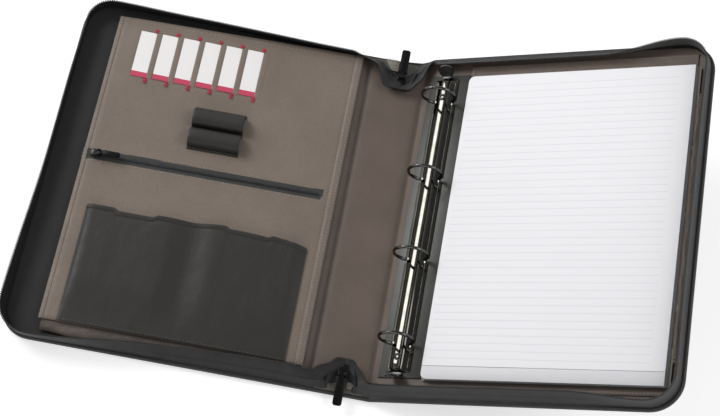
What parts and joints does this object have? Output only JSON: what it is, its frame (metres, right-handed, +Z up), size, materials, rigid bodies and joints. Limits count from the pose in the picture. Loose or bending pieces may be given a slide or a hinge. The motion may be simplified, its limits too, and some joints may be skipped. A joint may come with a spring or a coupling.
{
  "type": "zip-round portfolio case with ring binder",
  "caption": "Open zip-round portfolio case with an organiser panel and patch pockets on one cover, a ring mechanism and a ruled writing pad on the other.",
  "frame": {"origin": "middle of the spine's underside, where the open case rests", "axes": "+X across the case from the organiser cover to the ring cover, +Y along the spine towards the back, +Z up"},
  "size_m": [0.5753, 0.3531, 0.1344],
  "materials": {
    "black_leather": "satin",
    "taupe_lining": "matte",
    "black_lining": "matte",
    "taupe_fabric": "matte",
    "pocket_leather": "satin",
    "zip_tape": "matte",
    "zip_teeth": "satin",
    "greyboard": "matte",
    "black_nickel": "polished",
    "black_lever": "satin",
    "grey_plate": "satin",
    "paper_white": "matte",
    "paper_grey": "matte",
    "card_white": "matte"
  },
  "bodies": {
    "left_cover": {"left_cover_skin": "black_leather", "left_cover_board": "greyboard", "left_cover_lining": "black_lining", "left_zip_tape": "zip_tape", "left_zip_teeth": "zip_teeth", "organiser_gusset": "taupe_fabric", "organiser_panel": "taupe_lining", "card_slot_panel": "taupe_lining", "pen_loops": "pocket_leather", "pocket_zip_tape": "zip_tape", "pocket_zip_coil": "zip_teeth", "cable_pocket": "pocket_leather", "phone_pocket": "pocket_leather"},
    "spine": {"spine_skin": "black_leather", "spine_board": "greyboard", "spine_lining": "taupe_lining", "spine_gusset_back": "zip_tape", "spine_gusset_front": "zip_tape", "zip_slider_back": "black_nickel", "zip_slider_front": "black_nickel"},
    "right_cover": {"right_cover_skin": "black_leather", "right_cover_board": "greyboard", "right_cover_lining": "taupe_lining", "right_zip_tape": "zip_tape", "right_zip_teeth": "zip_teeth", "ring_base_plate": "grey_plate", "ring_rail": "black_nickel", "rail_rivet_back": "black_nickel", "rail_rivet_front": "black_nickel", "pad_pocket_panel": "taupe_fabric", "pad_retaining_strip": "taupe_fabric"},
    "ring_jaw_left": {"ring_blade_left": "black_nickel", "ring_1_left_half": "black_nickel", "ring_2_left_half": "black_nickel", "ring_3_left_half": "black_nickel", "ring_4_left_half": "black_nickel"},
    "ring_jaw_right": {"ring_blade_right": "black_nickel", "ring_1_right_half": "black_nickel", "ring_2_right_half": "black_nickel", "ring_3_right_half": "black_nickel", "ring_4_right_half": "black_nickel"},
    "lever_back": {"ring_lever_back": "black_lever"},
    "lever_front": {"ring_lever_front": "black_lever"},
    "writing_pad": {"pad_backing": "greyboard", "pad_sheets": "paper_white", "pad_binding": "paper_grey"},
    "pull_back": {"zip_pull_back": "black_nickel"},
    "pull_front": {"zip_pull_front": "black_nickel"},
    "pocket_slider": {"pocket_zip_slider": "black_nickel"},
    "pocket_pull": {"pocket_zip_pull": "black_nickel"},
    "card_1": {"insert_card_1": "card_white"},
    "card_2": {"insert_card_2": "card_white"},
    "card_3": {"insert_card_3": "card_white"},
    "card_4": {"insert_card_4": "card_white"},
    "card_5": {"insert_card_5": "card_white"},
    "card_6": {"insert_card_6": "card_white"}
  },
  "joints": [
    {"name": "left_fold", "type": "hinge", "parent": "left_cover", "child": "spine", "pos_m": [-0.028, 0, 0.0006], "axis": [0, -1, 0], "range_deg": [0, 90]},
    {"name": "right_fold", "type": "hinge", "parent": "spine", "child": "right_cover", "pos_m": [0.028, 0, 0.0006], "axis": [0, -1, 0], "range_deg": [-25.7, 64.3]},
    {"name": "ring_open", "type": "hinge", "parent": "right_cover", "child": "ring_jaw_left", "pos_m": [0.03921, 0, 0.01465], "axis": [0, -1, 0], "range_deg": [0, 10.5]},
    {"name": "ring_open_right", "type": "hinge", "parent": "right_cover", "child": "ring_jaw_right", "pos_m": [0.05507, 0, 0.02229], "axis": [0, 1, 0], "range_deg": [0, 10.5]},
    {"name": "lever_back_tilt", "type": "hinge", "parent": "right_cover", "child": "lever_back", "pos_m": [0.04693, 0.148, 0.01892], "axis": [-0.9011, 0, -0.4337], "range_deg": [0, 16.8]},
    {"name": "lever_front_tilt", "type": "hinge", "parent": "right_cover", "child": "lever_front", "pos_m": [0.04693, -0.148, 0.01892], "axis": [0.9011, 0, 0.4337], "range_deg": [0, 16.8]},
    {"name": "pad_slide", "type": "slide", "parent": "right_cover", "child": "writing_pad", "axis": [-0.9011, 0, -0.4337], "range_m": [0, 0.0062]},
    {"name": "pull_back_swing", "type": "hinge", "parent": "spine", "child": "pull_back", "pos_m": [0.0045, 0.1436, 0.0123], "axis": [1, 0, 0], "range_deg": [0, 100]},
    {"name": "pull_front_swing", "type": "hinge", "parent": "spine", "child": "pull_front", "pos_m": [0.001, -0.1536, 0.0123], "axis": [-1, 0, 0], "range_deg": [0, 108]},
    {"name": "pocket_zip_travel", "type": "slide", "parent": "left_cover", "child": "pocket_slider", "axis": [1, 0, 0], "range_m": [0, 0.198]},
    {"name": "pocket_pull_swing", "type": "hinge", "parent": "pocket_slider", "child": "pocket_pull", "pos_m": [-0.2522, 0.009, 0.0184], "axis": [0, -1, 0], "range_deg": [0, 150]},
    {"name": "card_1_slide", "type": "slide", "parent": "left_cover", "child": "card_1", "axis": [-0.9931, 0, 0.117], "range_m": [0, 0.008]},
    {"name": "card_2_slide", "type": "slide", "parent": "left_cover", "child": "card_2", "axis": [-0.9931, 0, 0.117], "range_m": [0, 0.008]},
    {"name": "card_3_slide", "type": "slide", "parent": "left_cover", "child": "card_3", "axis": [-0.9931, 0, 0.117], "range_m": [0, 0.008]},
    {"name": "card_4_slide", "type": "slide", "parent": "left_cover", "child": "card_4", "axis": [-0.9931, 0, 0.117], "range_m": [0, 0.008]},
    {"name": "card_5_slide", "type": "slide", "parent": "left_cover", "child": "card_5", "axis": [-0.9931, 0, 0.117], "range_m": [0, 0.008]},
    {"name": "card_6_slide", "type": "slide", "parent": "left_cover", "child": "card_6", "axis": [-0.9931, 0, 0.117], "range_m": [0, 0.008]}
  ],
  "couplings": [
    {"joint": "ring_open_right", "follows": "ring_open", "ratio": 1},
    {"joint": "lever_back_tilt", "follows": "ring_open", "ratio": 1.6},
    {"joint": "lever_front_tilt", "follows": "ring_open", "ratio": 1.6}
  ]
}
